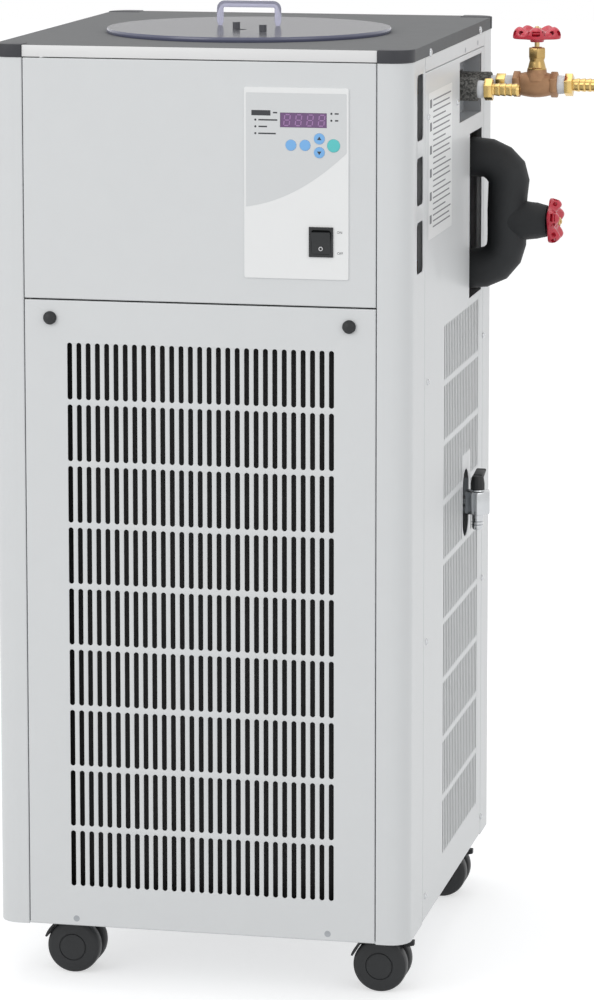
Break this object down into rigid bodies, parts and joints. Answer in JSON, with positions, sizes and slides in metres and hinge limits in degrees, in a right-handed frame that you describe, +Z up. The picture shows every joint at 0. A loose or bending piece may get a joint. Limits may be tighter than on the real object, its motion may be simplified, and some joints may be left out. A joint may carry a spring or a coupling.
{
  "type": "recirculating chiller",
  "caption": "Floor-standing recirculating chiller with a slotted front grille, a bath under a clear lid, hose valves on its right side and swivel casters.",
  "frame": {"origin": "The floor point under the middle of the whole object's bounding box, hose nozzles and knobs included.", "axes": "+X to the side that carries the hose ports, -Y to the front with the control panel and grille, +Z up."},
  "size_m": [0.5846, 0.5336, 1.041],
  "materials": {
    "cabinet_paint": "satin powder coat",
    "trim_paint": "satin powder coat",
    "deck_paint": "smooth semi-gloss",
    "cap_plastic": "fine grain",
    "panel_film": "satin film",
    "display_black": "clear window",
    "key_blue": "satin",
    "key_green": "satin",
    "black_plastic": "fine grain",
    "clear_acrylic": "polished",
    "stainless": "brushed",
    "insulation": "closed cell foam skin",
    "sleeve_foam": "speckled foam",
    "brass": "machined",
    "bronze": "cast",
    "wheel_red": "gloss enamel",
    "nickel": "plated",
    "zinc_steel": "zinc plated",
    "fin_aluminium": "plain",
    "black_enamel": "gloss",
    "copper_pipe": "drawn",
    "pump_grey": "satin",
    "recess_paint": "satin",
    "steel_stem": "turned"
  },
  "bodies": {
    "cabinet": {"base_pan": "zinc_steel", "corner_posts": "cabinet_paint", "top_rails": "cabinet_paint", "side_panel_right": "cabinet_paint", "side_panel_left": "cabinet_paint", "rear_panel": "cabinet_paint", "cord_gland": "black_plastic", "upper_front_panel": "cabinet_paint", "top_plate": "deck_paint", "front_trim": "trim_paint", "corner_caps": "cap_plastic", "bath_tank": "stainless", "bath_foam": "insulation", "bath_shelf": "zinc_steel", "condenser": "fin_aluminium", "fan_shroud": "zinc_steel", "fan_motor": "black_enamel", "compressor": "black_enamel", "circulation_pump": "pump_grey", "water_pipes": "copper_pipe", "port_recess": "recess_paint", "pipe_sleeves": "sleeve_foam", "return_nozzle": "brass", "outlet_nipple": "brass", "outlet_valve_body": "bronze", "outlet_packing_nut": "brass", "outlet_nozzle": "brass", "bypass_foam": "insulation", "drain_bracket": "recess_paint", "drain_valve": "nickel", "control_panel": "panel_film", "display_board": "display_black", "rocker_bezel": "black_plastic"},
    "front_grille": {"lower_front_panel": "cabinet_paint"},
    "knob_left": {"panel_knob_left": "black_plastic"},
    "knob_right": {"panel_knob_right": "black_plastic"},
    "lid_set": {"lid": "clear_acrylic", "lid_handle": "clear_acrylic"},
    "fan": {"fan_blades": "fin_aluminium"},
    "outlet_spindle": {"outlet_stem": "steel_stem"},
    "outlet_wheel": {"outlet_handwheel": "wheel_red"},
    "bypass_spindle": {"bypass_stem": "steel_stem"},
    "bypass_wheel": {"bypass_handwheel": "wheel_red"},
    "drain_tap": {"drain_knob": "black_plastic"},
    "power_rocker": {"rocker": "black_plastic"},
    "key_pump_cap": {"key_pump": "key_blue"},
    "key_set_cap": {"key_set": "key_blue"},
    "key_up_cap": {"key_up": "key_blue"},
    "key_down_cap": {"key_down": "key_blue"},
    "key_start_cap": {"key_start": "key_green"},
    "swivel_front_left": {"caster_fork_front_left": "black_plastic"},
    "wheels_front_left": {"caster_wheels_front_left": "black_plastic"},
    "swivel_front_right": {"caster_fork_front_right": "black_plastic"},
    "wheels_front_right": {"caster_wheels_front_right": "black_plastic"},
    "swivel_rear_left": {"caster_fork_rear_left": "black_plastic"},
    "wheels_rear_left": {"caster_wheels_rear_left": "black_plastic"},
    "swivel_rear_right": {"caster_fork_rear_right": "black_plastic"},
    "wheels_rear_right": {"caster_wheels_rear_right": "black_plastic"},
    "brake_front_right": {"caster_brake_front_right": "black_plastic"},
    "brake_rear_right": {"caster_brake_rear_right": "black_plastic"}
  },
  "joints": [
    {"name": "grille_pull", "type": "slide", "parent": "cabinet", "child": "front_grille", "axis": [0, -1, 0], "range_m": [0, 0.08]},
    {"name": "knob_turn_left", "type": "hinge", "parent": "front_grille", "child": "knob_left", "pos_m": [-0.2278, -0.26025, 0.723], "axis": [0, -1, 0], "range_deg": [0, 90]},
    {"name": "knob_turn_right", "type": "hinge", "parent": "front_grille", "child": "knob_right", "pos_m": [0.0912, -0.26025, 0.723], "axis": [0, -1, 0], "range_deg": [0, 90]},
    {"name": "lid_lift", "type": "slide", "parent": "cabinet", "child": "lid_set", "axis": [0, 0, 1], "range_m": [0, 0.12]},
    {"name": "fan_spin", "type": "hinge", "parent": "cabinet", "child": "fan", "pos_m": [-0.0783, -0.19425, 0.3915], "axis": [0, 1, 0], "continuous": true},
    {"name": "outlet_rise", "type": "slide", "parent": "cabinet", "child": "outlet_spindle", "axis": [0, 0, 1], "range_m": [-0.004, 0.008]},
    {"name": "outlet_turn", "type": "hinge", "parent": "outlet_spindle", "child": "outlet_wheel", "pos_m": [0.2227, 0.13675, 0.998], "axis": [0, 0, 1], "range_deg": [-720, 1440]},
    {"name": "bypass_rise", "type": "slide", "parent": "cabinet", "child": "bypass_spindle", "axis": [1, 0, 0], "range_m": [0, 0.008]},
    {"name": "bypass_turn", "type": "hinge", "parent": "bypass_spindle", "child": "bypass_wheel", "pos_m": [0.2467, 0.13675, 0.789], "axis": [1, 0, 0], "range_deg": [0, 1440]},
    {"name": "drain_turn", "type": "hinge", "parent": "cabinet", "child": "drain_tap", "pos_m": [0.1682, 0.08075, 0.5], "axis": [0, 0, -1], "range_deg": [0, 90]},
    {"name": "rocker_tip", "type": "hinge", "parent": "cabinet", "child": "power_rocker", "pos_m": [0.06195, -0.25825, 0.8103], "axis": [-1, 0, 0], "range_deg": [0, 16]},
    {"name": "press_pump", "type": "slide", "parent": "cabinet", "child": "key_pump_cap", "axis": [0, 1, 0], "range_m": [0, 0.0005], "stiffness_N_per_m": 300},
    {"name": "press_set", "type": "slide", "parent": "cabinet", "child": "key_set_cap", "axis": [0, 1, 0], "range_m": [0, 0.0005], "stiffness_N_per_m": 300},
    {"name": "press_up", "type": "slide", "parent": "cabinet", "child": "key_up_cap", "axis": [0, 1, 0], "range_m": [0, 0.0005], "stiffness_N_per_m": 300},
    {"name": "press_down", "type": "slide", "parent": "cabinet", "child": "key_down_cap", "axis": [0, 1, 0], "range_m": [0, 0.0005], "stiffness_N_per_m": 300},
    {"name": "press_start", "type": "slide", "parent": "cabinet", "child": "key_start_cap", "axis": [0, 1, 0], "range_m": [0, 0.0005], "stiffness_N_per_m": 300},
    {"name": "swivel_turn_front_left", "type": "hinge", "parent": "cabinet", "child": "swivel_front_left", "pos_m": [-0.2368, -0.18625, 0.0663], "axis": [0, 0, 1], "continuous": true},
    {"name": "roll_front_left", "type": "hinge", "parent": "swivel_front_left", "child": "wheels_front_left", "pos_m": [-0.2231, -0.18625, 0.029], "axis": [0, 1, 0], "continuous": true},
    {"name": "swivel_turn_front_right", "type": "hinge", "parent": "cabinet", "child": "swivel_front_right", "pos_m": [0.1002, -0.18625, 0.0663], "axis": [0, 0, 1], "continuous": true},
    {"name": "roll_front_right", "type": "hinge", "parent": "swivel_front_right", "child": "wheels_front_right", "pos_m": [0.1139, -0.18625, 0.029], "axis": [0, 1, 0], "continuous": true},
    {"name": "swivel_turn_rear_left", "type": "hinge", "parent": "cabinet", "child": "swivel_rear_left", "pos_m": [-0.2368, 0.18075, 0.0663], "axis": [0, 0, 1], "continuous": true},
    {"name": "roll_rear_left", "type": "hinge", "parent": "swivel_rear_left", "child": "wheels_rear_left", "pos_m": [-0.2231, 0.18075, 0.029], "axis": [0, 1, 0], "continuous": true},
    {"name": "swivel_turn_rear_right", "type": "hinge", "parent": "cabinet", "child": "swivel_rear_right", "pos_m": [0.1002, 0.18075, 0.0663], "axis": [0, 0, 1], "continuous": true},
    {"name": "roll_rear_right", "type": "hinge", "parent": "swivel_rear_right", "child": "wheels_rear_right", "pos_m": [0.1139, 0.18075, 0.029], "axis": [0, 1, 0], "continuous": true},
    {"name": "brake_press_front_right", "type": "hinge", "parent": "swivel_front_right", "child": "brake_front_right", "pos_m": [0.1259, -0.18625, 0.047], "axis": [0, 1, 0], "range_deg": [0, 12]},
    {"name": "brake_press_rear_right", "type": "hinge", "parent": "swivel_rear_right", "child": "brake_rear_right", "pos_m": [0.1259, 0.18075, 0.047], "axis": [0, 1, 0], "range_deg": [0, 12]}
  ],
  "couplings": [
    {"joint": "outlet_turn", "follows": "outlet_rise", "rad_per_m": 3141.6},
    {"joint": "bypass_turn", "follows": "bypass_rise", "rad_per_m": 3141.6}
  ]
}
